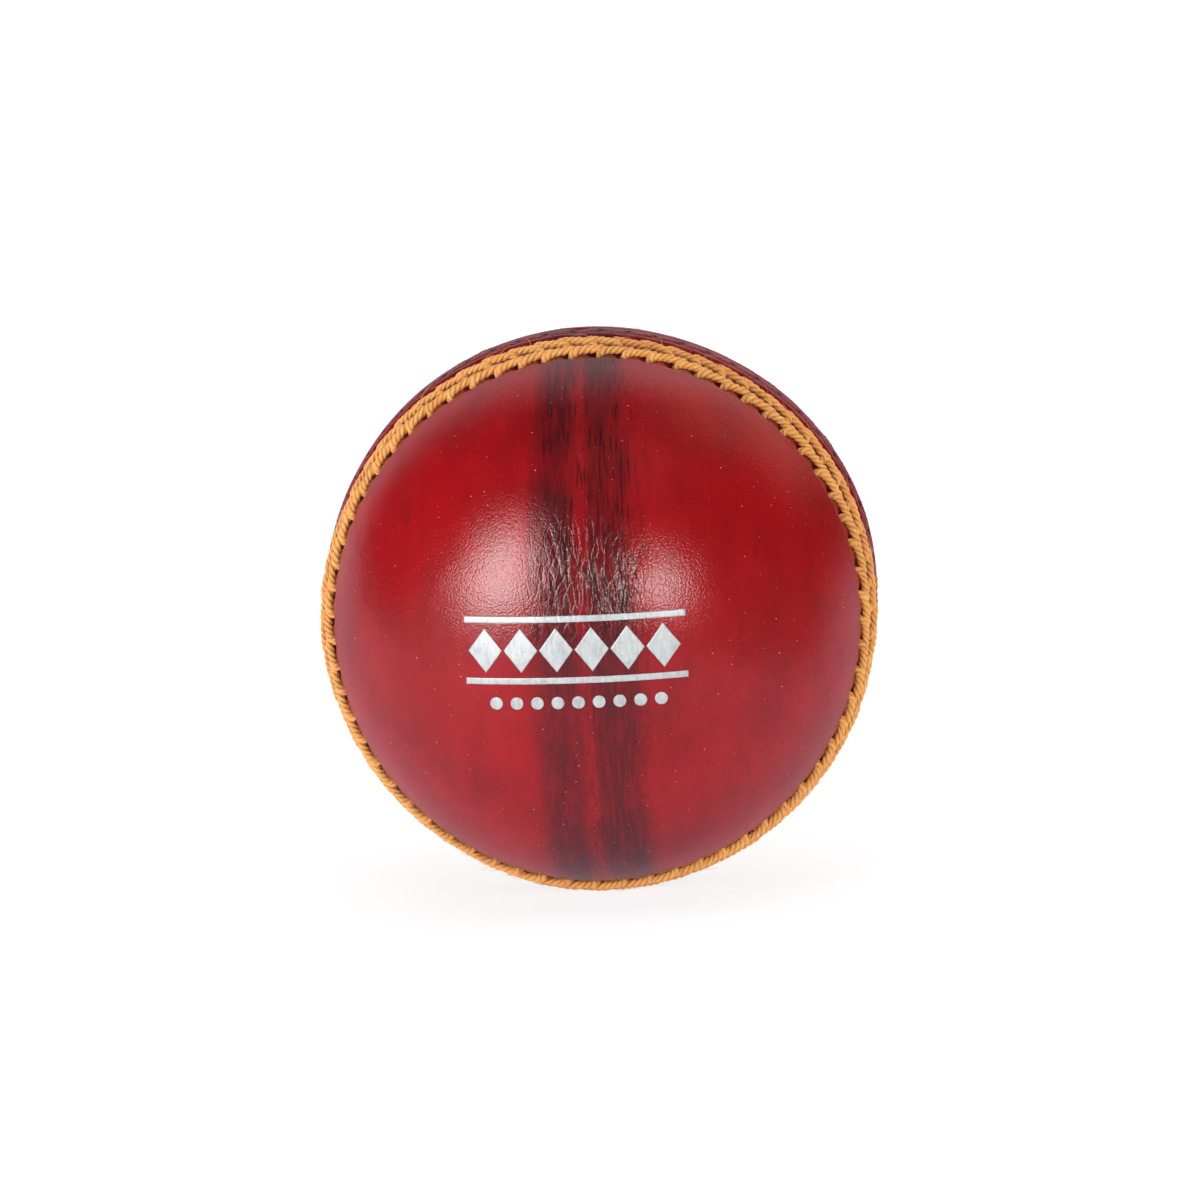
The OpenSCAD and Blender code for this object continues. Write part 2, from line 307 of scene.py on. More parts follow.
def quarter_cover(name, cup, side, n):
    """One leather quarter as a closed shell. cup is +1 front or -1 back; side is +1 or -1 along the cup's own x."""
    def surface(n_grid, inner):
        r, phi = half_square(n_grid)
        lat = 90 * (1 - r)                             # 0 at the seam plane
        turn = np.degrees(phi)
        if side < 0:
            turn = 180 - turn
        lat, turn = lat.ravel(), turn.ravel()
        if cup < 0:
            # back cup: its own x is the ball's -z, its own y the ball's x
            turn = turn - 90
        psi = lat * cup
        pos = place(psi, turn, np.ones_like(psi))
        hole = crack = np.zeros(len(psi))
        if inner:
            rad = np.full(len(psi), BALL_R - 3.0)
        else:
            rad, crack = leather_r(psi, turn, pos, True)
            dip, hole = hole_dips(psi, turn, cup)
            rad = rad + dip
        p = pos * rad[:, None]
        # edges that face the joint stay clear of the other cup
        p[:, 1] = np.where(np.abs(p[:, 1]) < 0.03, -cup * 0.03, p[:, 1])
        axis = 0 if cup > 0 else 2
        sign = side if cup > 0 else -side
        p[:, axis] = np.where(np.abs(p[:, axis]) < 0.006, sign * 0.006, p[:, axis])
        return p, n_grid, hole, crack

    outer, n_o, hole_o, crack_o = surface(n, False)
    inner, n_i, hole_i, crack_i = surface(n // 4, True)
    cols = 2 * n_o + 1
    ids = np.arange((n_o + 1) * cols).reshape(n_o + 1, cols)
    q = np.stack([ids[:-1, :-1], ids[1:, :-1], ids[1:, 1:], ids[:-1, 1:]], -1).reshape(-1, 4)
    icols = 2 * n_i + 1
    iid = np.arange((n_i + 1) * icols).reshape(n_i + 1, icols) + len(outer)
    qi = np.stack([iid[:-1, :-1], iid[:-1, 1:], iid[1:, 1:], iid[1:, :-1]], -1).reshape(-1, 4)
    # borders walked in one direction round the grid
    ring_o = np.concatenate([ids[0, ::-1], ids[1:, 0], ids[-1, 1:], ids[-2:0:-1, -1]])
    ring_i = np.concatenate([iid[0, ::-1], iid[1:, 0], iid[-1, 1:], iid[-2:0:-1, -1]])
    m = len(ring_i)
    assert len(ring_o) == 4 * m
    tris = []
    for j in range(m):
        c0, c1 = ring_i[j], ring_i[(j + 1) % m]
        for k in range(4):
            tris.append((c0, ring_o[(4 * j + k + 1) % (4 * m)], ring_o[4 * j + k]))
        tris.append((c0, c1, ring_o[(4 * j + 4) % (4 * m)]))
    verts = np.concatenate([outer, inner])
    # outward faces
    a, b, c = verts[q[0, 0]], verts[q[0, 1]], verts[q[0, 2]]
    mid = len(q) // 2
    a, b, c = verts[q[mid, 0]], verts[q[mid, 1]], verts[q[mid, 2]]
    if np.dot(np.cross(b - a, c - a), a) < 0:
        q, qi = q[:, ::-1], qi[:, ::-1]
        tris = [(x, z, y) for x, y, z in tris]
    obj = new_mesh(name, verts, np.concatenate([q, qi]), tris,
                   {"hole": np.concatenate([hole_o, hole_i]), "crack": np.concatenate([crack_o, crack_i])})
    obj.data.set_sharp_from_angle(angle=math.radians(60))
    return obj


def strand_tubes(paths, offsets_r, strand_r, twist_mm, strands, sides, phase, swell):
    """Twisted thread: paths is (count, m, 3) centre lines with normals. Returns verts, quads, tris and the depth
    attribute, which paints shade into the crevices between the strands.
    """
    centre, normal = paths
    count, m, _ = centre.shape
    tangent = np.gradient(centre, axis=1)
    tangent /= np.linalg.norm(tangent, axis=2, keepdims=True)
    normal = normal - tangent * np.sum(normal * tangent, axis=2, keepdims=True)
    normal /= np.linalg.norm(normal, axis=2, keepdims=True)
    side = np.cross(tangent, normal)
    step = np.linalg.norm(np.diff(centre, axis=1), axis=2)
    length = np.concatenate([np.zeros((count, 1)), np.cumsum(step, axis=1)], axis=1)
    all_v, all_q, all_t, all_d, all_k = [], [], [], [], []
    base = 0
    around = np.arange(sides) * 2 * np.pi / sides
    for s in range(strands):
        ang = 2 * np.pi * (s / strands - length / twist_mm[:, None]) + phase[:, None]
        ca, sa = np.cos(ang)[..., None], np.sin(ang)[..., None]
        out = normal * ca + side * sa
        mid = centre + out * offsets_r[:, None, None] * swell[..., None]
        # ring of points round each strand, in the plane across the thread
        ring_dir = (np.cos(around)[None, None, :, None] * out[:, :, None, :]
                    + np.sin(around)[None, None, :, None] * (side * ca - normal * sa)[:, :, None, :])
        radius = strand_r[:, None, None, None] * (swell * (1 + 0.05 * np.sin(length * 5.1 + s * 2.1 + phase[:, None])))[:, :, None, None]
        ring = mid[:, :, None, :] + ring_dir * radius
        # painted shade: depth darkens the thread's colour towards the crevices between the strands and lightens it on
        # their crowns
        depth = np.cos(around)[None, None, :] * np.ones((count, m, 1)) * 0.5 + 0.5     # 1 on the thread's outside, 0 at its heart
        v = ring.reshape(-1, 3)
        ids = np.arange(count * m * sides).reshape(count, m, sides) + base
        nxt = np.roll(ids, -1, axis=2)
        q = np.stack([ids[:, :-1], nxt[:, :-1], nxt[:, 1:], ids[:, 1:]], -1).reshape(-1, 4)
        all_v.append(v)
        all_q.append(q)
        all_d.append(depth.ravel())
        all_k.append(np.broadcast_to(np.arange(count)[:, None, None], (count, m, sides)).ravel())
        base += len(v)
        # caps
        for end, flip in ((0, True), (m - 1, False)):
            c = mid[:, end, :]
            all_v.append(c)
            cid = np.arange(count) + base
            ring_ids = ids[:, end, :]
            nx = np.roll(ring_ids, -1, axis=1)
            tri = np.stack([np.broadcast_to(cid[:, None], ring_ids.shape), nx if flip else ring_ids, ring_ids if flip else nx], -1)
            all_t.append(tri.reshape(-1, 3))
            all_d.append(np.full(count, 0.3))
            all_k.append(np.arange(count))
            base += count
    return (np.concatenate(all_v), np.concatenate(all_q), np.concatenate(all_t),
            np.concatenate(all_d), np.concatenate(all_k))


def fibre_tubes(starts, normals, alongs, lengths, radius, seed, points=9, sides=4):
    """Fine stray fibres: each leaves its start along the thread, lifts off and curls. Returns verts and quads."""
    g = np.random.default_rng(seed)
    verts, quads, tris = [], [], []
    base = 0
    around = np.arange(sides) * 2 * np.pi / sides
    for start, nrm, along, length in zip(starts, normals, alongs, lengths):
        side = np.cross(along, nrm)
        s = np.linspace(0, 1, points)
        lift, sway, curl = g.uniform(0.15, 0.55), g.uniform(-0.5, 0.5), g.uniform(-0.35, 0.35)
        line = (start + np.outer(s * length, along) + np.outer(lift * length * s * (1.15 - 0.6 * s), nrm)
                + np.outer(length * (sway * s + curl * np.sin(2.6 * s)), side))
        tan = np.gradient(line, axis=0)
        tan /= np.linalg.norm(tan, axis=1, keepdims=True)
        a = np.cross(tan, nrm)
        a /= np.linalg.norm(a, axis=1, keepdims=True)
        b = np.cross(tan, a)
        rad = radius * (1 - 0.6 * s)
        ring = line[:, None, :] + rad[:, None, None] * (np.cos(around)[None, :, None] * a[:, None, :] + np.sin(around)[None, :, None] * b[:, None, :])
        verts.append(ring.reshape(-1, 3))
        ids = np.arange(points * sides).reshape(points, sides) + base
        nxt = np.roll(ids, -1, axis=1)
        quads.append(np.stack([ids[:-1], nxt[:-1], nxt[1:], ids[1:]], -1).reshape(-1, 4))
        quads.append(ids[0][None, ::-1])
        quads.append(ids[-1][None, :])
        base += points * sides
    return np.concatenate(verts), np.concatenate(quads)


def stitch_row(name, cup, lat_out, lat_in, shift, reach, r_thread, lift, twist, seed, strands=3, points=34, fibres=0, spread=0.40):
    """One row of stitches as twisted threads that come up through one hole and go down the next."""
    g = np.random.default_rng(seed)
    n = STITCHES
    i = np.arange(n)
    t0 = (i + 0.5 + shift) * PITCH + g.normal(0, 0.20, n)
    t1 = (i + 0.5 + shift - reach) * PITCH + g.normal(0, 0.20, n)
    la = lat_out + g.normal(0, 0.13, n)
    lb = lat_in + g.normal(0, 0.10, n)
    rise = lift + g.normal(0, 0.03, n)
    sink, rho = 1.1, 0.66
    # flat length of each stitch in millimetres
    mean = deg((la + lb) / 2)
    L = BALL_R * np.hypot(deg(t1 - t0) * np.cos(mean), deg(lb - la))
    arc = rho * np.pi / 2
    straight = L - 2 * rho
    total = 2 * (sink + arc) + straight
    s = np.linspace(0, 1, points)[None, :] * total[:, None]
    up_end = sink
    e1 = up_end + arc
    e2 = e1 + straight[:, None]
    e3 = e2 + arc
    th1 = (s - up_end) / rho
    th2 = (s - e2) / rho
    Lc = L[:, None]
    xi = np.where(s < up_end, 0, np.where(s < e1, rho * (1 - np.cos(th1)), np.where(s < e2, rho + s - e1, np.where(s < e3, Lc - rho + rho * np.sin(th2), Lc))))
    h = np.where(s < up_end, s - up_end - rho, np.where(s < e1, -rho + rho * np.sin(th1), np.where(s < e2, 0, np.where(s < e3, -rho + rho * np.cos(th2), -rho - (s - e3)))))
    f = xi / Lc
    # the thread bows a little over the middle of the stitch
    bow = np.sin(np.pi * f)
    lat = la[:, None] + (lb - la)[:, None] * (f + 0.07 * np.sin(2 * np.pi * f))
    turn = t0[:, None] + (t1 - t0)[:, None] * f
    if cup < 0:
        turn = 90 - turn
    psi = lat * cup
    flat_psi, flat_turn = psi.ravel(), turn.ravel()
    pos = place(flat_psi, flat_turn, np.ones(flat_psi.size))
    ground = (BALL_R + ridge(np.full_like(flat_psi, (lat_out + lat_in) / 2 * cup), flat_turn)).reshape(n, points)
    slow = noise(pos * 2.1 + 4.0, 3).reshape(n, points) * 0.10
    r = ground + slow + rise[:, None] + h + 0.07 * bow
    centre = place(psi, turn, r)
    normal = pos.reshape(n, points, 3)
    size = 1 + g.normal(0, 0.045, n)
    r_off = r_thread * spread * size
    r_str = r_thread * (1.03 - spread) * size
    swell = 1.07 - 0.20 * f
    phase = g.uniform(0, 2 * np.pi, n)
    v, q, tr, d, k = strand_tubes((centre, normal), r_off, r_str, twist * (1 + g.normal(0, 0.07, n)), strands, 9, phase, swell)
    tone = g.uniform(0, 1, n)[k]
    if fibres:
        pick = g.integers(0, n, fibres)
        at = g.integers(8, points - 8, fibres)
        up = normal[pick, at]
        along = centre[pick, at + 1] - centre[pick, at - 1]
        along /= np.linalg.norm(along, axis=1, keepdims=True)
        along *= g.choice([-1.0, 1.0], fibres)[:, None]
        across = np.cross(along, up) * g.uniform(-0.9, 0.9, fibres)[:, None]
        heading = along + across
        heading /= np.linalg.norm(heading, axis=1, keepdims=True)
        starts = centre[pick, at] + up * r_thread * 0.80
        fv, fq = fibre_tubes(starts, up, heading, g.uniform(0.8, 2.4, fibres), 0.028, seed + 7)
        q = np.concatenate([q, fq + len(v)])
        v = np.concatenate([v, fv])
        d = np.concatenate([d, np.full(len(fv), 1.05)])
        tone = np.concatenate([tone, np.full(len(fv), 1.0)])
    return new_mesh(name, v, q, tr, {"depth": d, "tone": tone})


# ---------------------------------------------------------------------------
# Materials
# ---------------------------------------------------------------------------
class Nodes:
    """Small helper that builds a shader tree."""

    def __init__(self, name):
        self.m = bpy.data.materials.new(name)
        self.m.use_nodes = True
        self.t = self.m.node_tree
        self.t.nodes.clear()
        self.out = self.t.nodes.new("ShaderNodeOutputMaterial")

    def n(self, kind, **inputs):
        node = self.t.nodes.new(kind)
        for key, value in inputs.items():
            if key.startswith("_"):
                setattr(node, key[1:], value)
            else:
                self.set(node.inputs[key.replace("__", " ")], value)
        return node

    def set(self, socket, value):
        if isinstance(value, bpy.types.NodeSocket):
            self.t.links.new(value, socket)
        else:
            socket.default_value = value

    def math(self, op, a, b=None, c=None, clamp=False):
        node = self.t.nodes.new("ShaderNodeMath")
        node.operation = op
        node.use_clamp = clamp
        self.set(node.inputs[0], a)
        if b is not None:
            self.set(node.inputs[1], b)
        if c is not None:
            self.set(node.inputs[2], c)
        return node.outputs[0]

    def ramp(self, fac, stops, mode="LINEAR"):
        node = self.t.nodes.new("ShaderNodeValToRGB")
        node.color_ramp.interpolation = mode
        el = node.color_ramp.elements
        while len(el) > 1:
            el.remove(el[-1])
        for k, (at, col) in enumerate(stops):
            e = el[0] if k == 0 else el.new(at)
            e.position = at
            e.color = (col, col, col, 1) if isinstance(col, (int, float)) else (*col, 1)
        self.set(node.inputs[0], fac)
        return node.outputs[0]

    def mix(self, fac, a, b, mode="MIX"):
        node = self.t.nodes.new("ShaderNodeMix")
        node.data_type = "RGBA"
        node.blend_type = mode
        self.set(node.inputs[0], fac)
        self.set(node.inputs[6], a if isinstance(a, bpy.types.NodeSocket) else (*a, 1))
        self.set(node.inputs[7], b if isinstance(b, bpy.types.NodeSocket) else (*b, 1))
        return node.outputs[2]

    def noise(self, vec, scale, detail=4.0, rough=0.55, distortion=0.0):
        node = self.n("ShaderNodeTexNoise", Vector=vec, Scale=scale, Detail=detail, Roughness=rough, Distortion=distortion)
        return node.outputs["Fac"]

    def voronoi(self, vec, scale, feature="F1", rand=1.0):
        node = self.t.nodes.new("ShaderNodeTexVoronoi")
        node.feature = feature
        self.set(node.inputs["Vector"], vec)
        self.set(node.inputs["Scale"], scale)
        self.set(node.inputs["Randomness"], rand)
        return node

    def mapped(self, vec, scale, loc=(0, 0, 0)):
        node = self.n("ShaderNodeMapping", Vector=vec, Scale=scale, Location=loc)
        return node.outputs[0]

    def finish(self, bsdf):
        self.t.links.new(bsdf.outputs[0], self.out.inputs[0])
        return self.m


def leather_material(name, across, along):
    """Red leather. across is the axis letter across the quarter seam, along the one that runs along it."""
    k = Nodes(name)
    geo = k.n("ShaderNodeTexCoord").outputs["Object"]
    sep = k.n("ShaderNodeSeparateXYZ", Vector=geo)
    ax = {"x": sep.outputs[0], "y": sep.outputs[1], "z": sep.outputs[2]}
    length = k.n("ShaderNodeVectorMath", _operation="LENGTH", Vector=geo).outputs["Value"]
    lat = k.math("ABSOLUTE", k.math("MULTIPLY", k.math("ARCSINE", k.math("DIVIDE", ax["y"], length)), 180 / math.pi))
    hole = k.n("ShaderNodeAttribute", _attribute_name="hole").outputs["Fac"]
    crack = k.n("ShaderNodeAttribute", _attribute_name="crack").outputs["Fac"]
    # millimetres across the quarter seam, and millimetres of arc along it
    u = k.math("MULTIPLY", ax[across], 1000.0)
    arc = k.math("MULTIPLY", k.math("ARCTAN2", ax[along], k.math("ABSOLUTE", ax["y"])), BALL_R)
    flat = k.n("ShaderNodeCombineXYZ", X=u, Y=arc, Z=0.0).outputs[0]
    lips = k.ramp(k.math("DIVIDE", lat, 30.0), [(0.0, 1.0), (0.22, 1.0), (0.27, 0.0)])
    plain = k.ramp(k.math("DIVIDE", lat, 30.0), [(0.58, 0.0), (0.72, 1.0)])

    # --- colour ---
    mottle = k.noise(geo, 75.0, 4.0, 0.6)
    cloud = k.noise(geo, 30.0, 2.0, 0.5)
    red = k.mix(k.ramp(mottle, [(0.36, 0.0), (0.64, 1.0)]), (0.232, 0.0016, 0.0040), (0.325, 0.0026, 0.0065))
    red = k.mix(k.ramp(cloud, [(0.42, 0.0), (0.62, 0.5)]), red, (0.290, 0.0050, 0.0066))
    # short wiped-on dye marks
    wipe = k.noise(k.mapped(flat, (0.30, 0.055, 1)), 1.0, 4.0, 0.6)
    red = k.mix(k.ramp(wipe, [(0.50, 0.0), (0.70, 0.38)]), red, (0.165, 0.0022, 0.0045))
    scratch = k.noise(k.mapped(flat, (0.9, 0.22, 1), (31, 7, 2)), 1.0, 3.0, 0.65)
    red = k.mix(k.ramp(scratch, [(0.60, 0.0), (0.74, 0.30)]), red, (0.40, 0.0100, 0.0130))
    # two dark streaky bands beside the quarter seam
    wav = k.noise(k.mapped(flat, (0.10, 0.060, 1), (3, 0, 1)), 1.0, 2.0, 0.5)
    closing = k.math("MULTIPLY_ADD", k.math("MAXIMUM", k.math("SUBTRACT", arc, 20.0), 0.0), 0.012, 1.0)
    pos = k.math("MULTIPLY_ADD", k.math("MULTIPLY", u, closing), 1 / 24.0, 0.5)      # -12 mm .. +12 mm
    pos = k.math("ADD", pos, k.math("MULTIPLY_ADD", wav, 0.10, -0.05))
    band = k.ramp(pos, [(0.165, 0.0), (0.215, 0.50), (0.275, 0.95), (0.395, 0.95), (0.450, 0.28), (0.490, 0.24),
                        (0.522, 0.95), (0.62, 1.0), (0.70, 0.92), (0.745, 0.35), (0.80, 0.0)], "LINEAR")
    hair = k.noise(k.mapped(flat, (2.3, 0.15, 1), (5, 1, 0)), 1.0, 3.0, 0.62)
    hair2 = k.noise(k.mapped(flat, (0.80, 0.11, 1), (9, 4, 3)), 1.0, 3.0, 0.55)
    fibre = k.math("ADD", k.math("MULTIPLY", hair, 0.5), k.math("MULTIPLY", hair2, 0.5))
    thick = k.math("MULTIPLY", band, k.ramp(fibre, [(0.36, 0.38), (0.46, 0.76), (0.56, 1.0)]))
    patch = k.noise(k.mapped(flat, (0.16, 0.075, 1), (1, 8, 5)), 1.0, 2.0, 0.5)
    thick = k.math("MULTIPLY", thick, k.ramp(patch, [(0.30, 0.62), (0.54, 1.0)]))
    fade = k.ramp(k.math("MULTIPLY_ADD", arc, 1 / 112.0, 0.5), [(0.04, 0.95), (0.20, 0.92), (0.33, 0.80), (0.45, 0.76), (0.56, 0.88),
                                                              (0.70, 1.0), (0.86, 0.95), (0.94, 0.85)])
    thick = k.math("MULTIPLY", thick, fade)
    red = k.mix(k.math("MULTIPLY", thick, 0.93), red, (0.036, 0.0038, 0.0052))
    # single dark hairs of dye within the bands
    thin = k.noise(k.mapped(flat, (3.4, 0.20, 1), (13, 2, 8)), 1.0, 2.0, 0.5)
    spread = k.ramp(pos, [(0.14, 0.0), (0.22, 0.55), (0.28, 1.0), (0.72, 1.0), (0.78, 0.5), (0.85, 0.0)], "LINEAR")
    thin = k.math("MULTIPLY", k.ramp(thin, [(0.56, 0.0), (0.63, 1.0)]), spread)
    upper = k.ramp(k.math("MULTIPLY_ADD", arc, 1 / 112.0, 0.5), [(0.36, 0.34), (0.52, 1.0)])
    red = k.mix(k.math("MULTIPLY", k.math("MULTIPLY", thin, upper), 0.74), red, (0.022, 0.0030, 0.0042))
    warp = k.n("ShaderNodeTexNoise", Vector=k.mapped(flat, (0.30, 0.16, 1), (4, 9, 1)), Scale=1.0, Detail=2.0, Roughness=0.5)
    bent = k.n("ShaderNodeVectorMath", _operation="MULTIPLY_ADD")
    k.set(bent.inputs[0], warp.outputs["Color"])
    k.set(bent.inputs[1], (5.0, 3.0, 0.0))
    k.set(bent.inputs[2], flat)
    net = k.voronoi(k.mapped(bent.outputs[0], (1.05, 0.30, 1)), 1.0, "DISTANCE_TO_EDGE").outputs["Distance"]
    net = k.math("MULTIPLY", k.ramp(net, [(0.0, 1.0), (0.05, 0.45), (0.14, 0.0)]), spread)
    net = k.math("MULTIPLY", net, k.ramp(k.math("MULTIPLY_ADD", arc, 1 / 112.0, 0.5), [(0.40, 0.46), (0.55, 0.10)]))
    red = k.mix(net, red, (0.060, 0.0034, 0.0050))
    # painted shade in the wrinkle valleys
    red = k.mix(k.math("MULTIPLY", crack, 0.78), red, (0.026, 0.0022, 0.0030))
    # the quarter seam itself is hardly seen
    line = k.math("SUBTRACT", 1.0, k.math("DIVIDE", k.math("ABSOLUTE", u), 0.10), clamp=True)
    red = k.mix(k.math("MULTIPLY", line, 0.35), red, (0.060, 0.0035, 0.0050))
    # painted shade: the leather darkens under and beside the stitch rows and where the cups meet
    near = k.ramp(k.math("DIVIDE", lat, 30.0), [(0.0, 0.70), (0.045, 0.35), (0.12, 0.60), (0.20, 0.30), (0.27, 0.75), (0.46, 0.85),
                                                (0.555, 0.55), (0.62, 0.12), (0.68, 0.0)])
    blotch = k.noise(k.mapped(geo, (1, 1.6, 1)), 210.0, 3.0, 0.6)
    near = k.math("MULTIPLY", near, k.ramp(blotch, [(0.36, 0.45), (0.58, 1.05)]))
    red = k.mix(near, red, (0.090, 0.0022, 0.0040))
    # painted shadow in the needle holes and between the tan rows
    red = k.mix(k.math("MULTIPLY", hole, 0.80), red, (0.050, 0.0022, 0.0025))
    # small pale pink specks strewn over the leather
    drift = k.n("ShaderNodeTexNoise", Vector=flat, Scale=2.2, Detail=2.0, Roughness=0.6)
    strewn = k.n("ShaderNodeVectorMath", _operation="MULTIPLY_ADD")
    k.set(strewn.inputs[0], drift.outputs["Color"])
    k.set(strewn.inputs[1], (0.45, 0.45, 0.0))
    k.set(strewn.inputs[2], flat)
    dots = k.n("ShaderNodeTexVoronoi", _voronoi_dimensions="2D", Vector=strewn.outputs[0], Scale=0.50)
    size = k.n("ShaderNodeSeparateColor", Color=dots.outputs["Color"])
    dot = k.math("LESS_THAN", dots.outputs["Distance"], k.math("MULTIPLY_ADD", k.math("POWER", size.outputs[1], 3.0), 0.026, 0.017))
    gather = k.noise(geo, 130.0, 2.0, 0.5)
    keep = k.math("GREATER_THAN", k.math("ADD", size.outputs[0], k.math("MULTIPLY_ADD", gather, 1.2, -0.60)), 0.70)
    speck = k.math("MULTIPLY", dot, keep)
    red = k.mix(k.math("MULTIPLY", speck, 0.60), red, (0.70, 0.36, 0.36))

    # --- relief, in millimetres ---
    pebble = k.voronoi(geo, 3400.0, "F1").outputs["Distance"]
    pebble2 = k.voronoi(geo, 2300.0, "DISTANCE_TO_EDGE").outputs["Distance"]
    fine = k.noise(geo, 5600.0, 2.0, 0.6)
    broad = k.noise(geo, 800.0, 3.0, 0.55)
    lines = k.noise(k.mapped(flat, (3.6, 0.75, 1), (2, 2, 0)), 1.0, 3.0, 0.6, 0.5)
    height = k.math("MULTIPLY", pebble, -0.0235)
    height = k.math("ADD", height, k.math("MULTIPLY", k.ramp(pebble2, [(0.0, 0.0), (0.14, 1.0)]), 0.0045))
    height = k.math("ADD", height, k.math("MULTIPLY", fine, 0.0195))
    height = k.math("ADD", height, k.math("MULTIPLY", broad, 0.0200))
    height = k.math("ADD", height, k.math("MULTIPLY", lines, 0.0140))
    # fine branching wrinkles in the creased zone
    cu = k.math("POWER", k.math("DIVIDE", k.math("ABSOLUTE", k.math("SUBTRACT", u, 0.4)), 7.6), 4.0)
    cv = k.math("POWER", k.math("DIVIDE", k.math("ABSOLUTE", k.math("SUBTRACT", arc, 7.0)), 10.5), 4.0)
    zone = k.math("EXPONENT", k.math("MULTIPLY", k.math("ADD", cu, cv), -1.0))
    wob = k.n("ShaderNodeTexNoise", Vector=k.mapped(flat, (0.6, 0.25, 1)), Scale=1.0, Detail=2.0, Roughness=0.5)
    shifted = k.n("ShaderNodeVectorMath", _operation="MULTIPLY_ADD")
    k.set(shifted.inputs[0], wob.outputs["Color"])
    k.set(shifted.inputs[1], (1.6, 1.6, 0.0))
    k.set(shifted.inputs[2], flat)
    web = k.voronoi(k.mapped(shifted.outputs[0], (1.25, 0.30, 1)), 1.0, "DISTANCE_TO_EDGE").outputs["Distance"]
    vein = k.ramp(web, [(0.0, 1.0), (0.05, 0.45), (0.10, 0.0)])
    web = k.math("MULTIPLY", k.ramp(web, [(0.0, 0.0), (0.035, 0.60), (0.085, 1.0)]), 0.030)
    height = k.math("ADD", height, k.math("MULTIPLY", web, zone))
    bump = k.n("ShaderNodeBump", Height=height, Strength=0.85, Distance=0.001)
    # --- gloss ---
    rub = k.noise(geo, 95.0, 4.0, 0.6)
    rough = k.ramp(rub, [(0.30, 0.17), (0.70, 0.25)])
    rough = k.math("ADD", rough, k.math("MULTIPLY", near, 0.20))
    spec = k.math("SUBTRACT", 0.5, k.math("MULTIPLY", lips, 0.10))
    spec = k.math("MULTIPLY", spec, k.math("SUBTRACT", 1.0, k.math("MULTIPLY", hole, 0.6)))
    bsdf = k.n("ShaderNodeBsdfPrincipled", Base__Color=red, Roughness=rough, Normal=bump.outputs[0])
    bsdf.inputs["IOR"].default_value = 1.5
    k.set(bsdf.inputs["Specular IOR Level"], spec)
    return k.finish(bsdf)


def thread_material(name, dark, mid, light, warm, rough=0.62, fleck=(0.80, 0.62, 0.40), gloss=0.4, sheen=0.25):
    k = Nodes(name)
    geo = k.n("ShaderNodeTexCoord").outputs["Object"]
    depth = k.n("ShaderNodeAttribute", _attribute_name="depth").outputs["Fac"]
    tone = k.n("ShaderNodeAttribute", _attribute_name="tone").outputs["Fac"]
    fib = k.noise(geo, 5200.0, 3.0, 0.65)
    blot = k.noise(geo, 420.0, 3.0, 0.6)
    # painted shade: the colour darkens with depth into the crevices between the strands and is lightest on their crowns
    level = k.math("ADD", k.math("MULTIPLY", depth, 0.72), k.math("MULTIPLY_ADD", fib, 0.55, -0.27))
    level = k.math("ADD", level, k.math("MULTIPLY_ADD", blot, 0.6, -0.30))
    level = k.math("ADD", level, k.math("MULTIPLY_ADD", tone, 0.16, -0.08))
    col = k.ramp(level, [(0.10, dark), (0.42, mid), (0.84, light)])
    hue = k.ramp(k.noise(geo, 650.0, 3.0, 0.6), [(0.45, 0.0), (0.60, 0.55)])
    col = k.mix(k.math("MULTIPLY", hue, k.ramp(level, [(0.25, 0.0), (0.5, 1.0)])), col, warm)
    pale = k.ramp(k.noise(geo, 1700.0, 2.0, 0.5), [(0.66, 0.0), (0.74, 0.5)])
    col = k.mix(pale, col, fleck)
    bump = k.n("ShaderNodeBump", Height=fib, Strength=0.8, Distance=0.00008)
    bsdf = k.n("ShaderNodeBsdfPrincipled", Base__Color=col, Roughness=rough, Normal=bump.outputs[0])
    bsdf.inputs["Specular IOR Level"].default_value = gloss
    bsdf.inputs["Sheen Weight"].default_value = sheen
    bsdf.inputs["Sheen Roughness"].default_value = 0.5
    return k.finish(bsdf)


def foil_material():
    k = Nodes("silver_foil")
    geo = k.n("ShaderNodeTexCoord").outputs["Object"]
    worn = k.noise(geo, 700.0, 5.0, 0.65)
    streak = k.noise(k.mapped(geo, (1, 1, 0.18)), 2600.0, 3.0, 0.6)
    tone = k.math("ADD", k.math("MULTIPLY", worn, 0.5), k.math("MULTIPLY", streak, 0.5))
    col = k.ramp(tone, [(0.36, (0.40, 0.42, 0.43)), (0.50, (0.52, 0.555, 0.56)), (0.64, (0.60, 0.635, 0.635))])
    crack = k.voronoi(k.mapped(geo, (1, 1, 0.35)), 1500.0, "DISTANCE_TO_EDGE").outputs["Distance"]
    col = k.mix(k.ramp(crack, [(0.0, 0.35), (0.05, 0.0)]), col, (0.36, 0.34, 0.35))
    pits = k.ramp(k.noise(geo, 2400.0, 2.0, 0.5), [(0.70, 0.0), (0.76, 0.8)])
    col = k.mix(pits, col, (0.22, 0.15, 0.16))
    height = k.math("ADD", k.math("MULTIPLY", k.ramp(crack, [(0.0, 0.0), (0.12, 1.0)]), 0.006), k.math("MULTIPLY", streak, 0.020))
    bump = k.n("ShaderNodeBump", Height=height, Strength=0.7, Distance=0.001)
    rough = k.ramp(worn, [(0.3, 0.50), (0.7, 0.40)])
    bsdf = k.n("ShaderNodeBsdfPrincipled", Base__Color=col, Roughness=rough, Normal=bump.outputs[0])
    bsdf.inputs["Metallic"].default_value = 0.25
    bsdf.inputs["Specular IOR Level"].default_value = 0.35
    return k.finish(bsdf)


